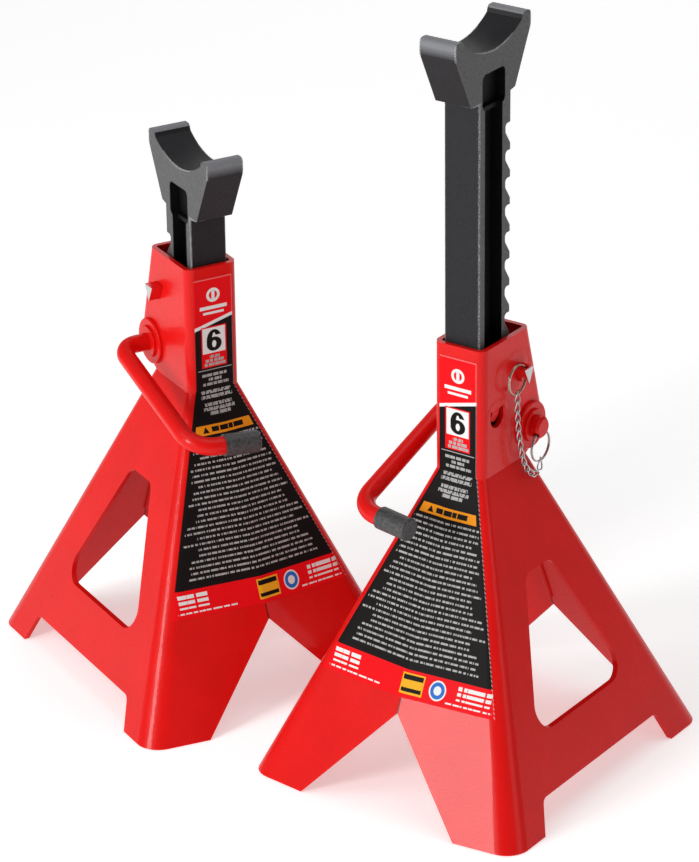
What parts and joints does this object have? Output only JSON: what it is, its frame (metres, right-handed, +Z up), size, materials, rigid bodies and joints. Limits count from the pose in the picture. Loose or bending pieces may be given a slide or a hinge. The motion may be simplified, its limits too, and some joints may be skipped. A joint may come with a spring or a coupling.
{
  "type": "axle jack stand pair",
  "caption": "Pair of pressed-steel ratchet jack stands: pyramid base, toothed column with round-trough saddle, pawl lever, three-sided lock pin on a chain.",
  "frame": {"origin": "on the floor, at the middle of the rectangle that the pair covers", "axes": "+Z up, -Y the side that the raised stand's label faces, +X towards the raised stand's right-hand side"},
  "size_m": [0.4978, 0.2872, 0.524],
  "materials": {
    "red_powder_coat": "gloss",
    "black_casting": "semi-gloss black paint on a casting",
    "dark_forging": "bare dark steel",
    "black_rubber": "satin",
    "nickel_wire": "bright plated",
    "printed_foil": "satin print"
  },
  "bodies": {
    "raised_base": {"raised_base_shell_left": "red_powder_coat", "raised_base_shell_right": "red_powder_coat", "raised_front_seam_weld": "red_powder_coat", "raised_rear_seam_weld": "red_powder_coat", "raised_front_label": "printed_foil", "raised_pivot_bush_left": "red_powder_coat", "raised_pivot_bush_right": "red_powder_coat", "raised_pivot_washer_left": "red_powder_coat", "raised_pivot_washer_right": "red_powder_coat", "raised_keeper_chain": "nickel_wire"},
    "raised_column": {"raised_ratchet_column": "black_casting"},
    "raised_lever": {"raised_lever_rod": "red_powder_coat", "raised_lever_grip": "black_rubber", "raised_shaft_end_collar": "red_powder_coat", "raised_pawl": "dark_forging", "raised_pawl_weld": "red_powder_coat", "raised_shaft_ring": "nickel_wire"},
    "raised_pin": {"raised_lock_pin": "red_powder_coat", "raised_pin_ring": "nickel_wire"},
    "lowered_base": {"lowered_base_shell_left": "red_powder_coat", "lowered_base_shell_right": "red_powder_coat", "lowered_front_seam_weld": "red_powder_coat", "lowered_rear_seam_weld": "red_powder_coat", "lowered_front_label": "printed_foil", "lowered_pivot_bush_left": "red_powder_coat", "lowered_pivot_bush_right": "red_powder_coat", "lowered_pivot_washer_left": "red_powder_coat", "lowered_pivot_washer_right": "red_powder_coat", "lowered_keeper_chain": "nickel_wire"},
    "lowered_column": {"lowered_ratchet_column": "black_casting"},
    "lowered_lever": {"lowered_lever_rod": "red_powder_coat", "lowered_lever_grip": "black_rubber", "lowered_shaft_end_collar": "red_powder_coat", "lowered_pawl": "dark_forging", "lowered_pawl_weld": "red_powder_coat", "lowered_shaft_ring": "nickel_wire"},
    "lowered_pin": {"lowered_lock_pin": "red_powder_coat", "lowered_pin_ring": "nickel_wire"}
  },
  "joints": [
    {"name": "raised_column_lift", "type": "slide", "parent": "raised_base", "child": "raised_column", "axis": [0, 0, 1], "range_m": [-0.133, 0.095]},
    {"name": "raised_lever_swing", "type": "hinge", "parent": "raised_base", "child": "raised_lever", "pos_m": [0.14095, 0.0238, 0.2345], "axis": [-1, 0, 0], "range_deg": [0, 30], "deforming": ["raised_keeper_chain"]},
    {"name": "raised_pin_pull", "type": "slide", "parent": "raised_base", "child": "raised_pin", "axis": [1, 0, 0], "range_m": [0, 0.05], "deforming": ["raised_keeper_chain"]},
    {"name": "lowered_column_lift", "type": "slide", "parent": "lowered_base", "child": "lowered_column", "axis": [0, 0, 1], "range_m": [0, 0.228]},
    {"name": "lowered_lever_swing", "type": "hinge", "parent": "lowered_base", "child": "lowered_lever", "pos_m": [-0.12888, 0.01399, 0.2345], "axis": [-0.4305, -0.9026, 0], "range_deg": [0, 30], "deforming": ["lowered_keeper_chain"]},
    {"name": "lowered_pin_pull", "type": "slide", "parent": "lowered_base", "child": "lowered_pin", "axis": [0.4305, 0.9026, 0], "range_m": [0, 0.05], "deforming": ["lowered_keeper_chain"]},
    {"name": "stand_spacing", "type": "slide", "parent": "raised_base", "child": "lowered_base", "axis": [-1, 0, 0], "range_m": [0, 0.2]}
  ]
}
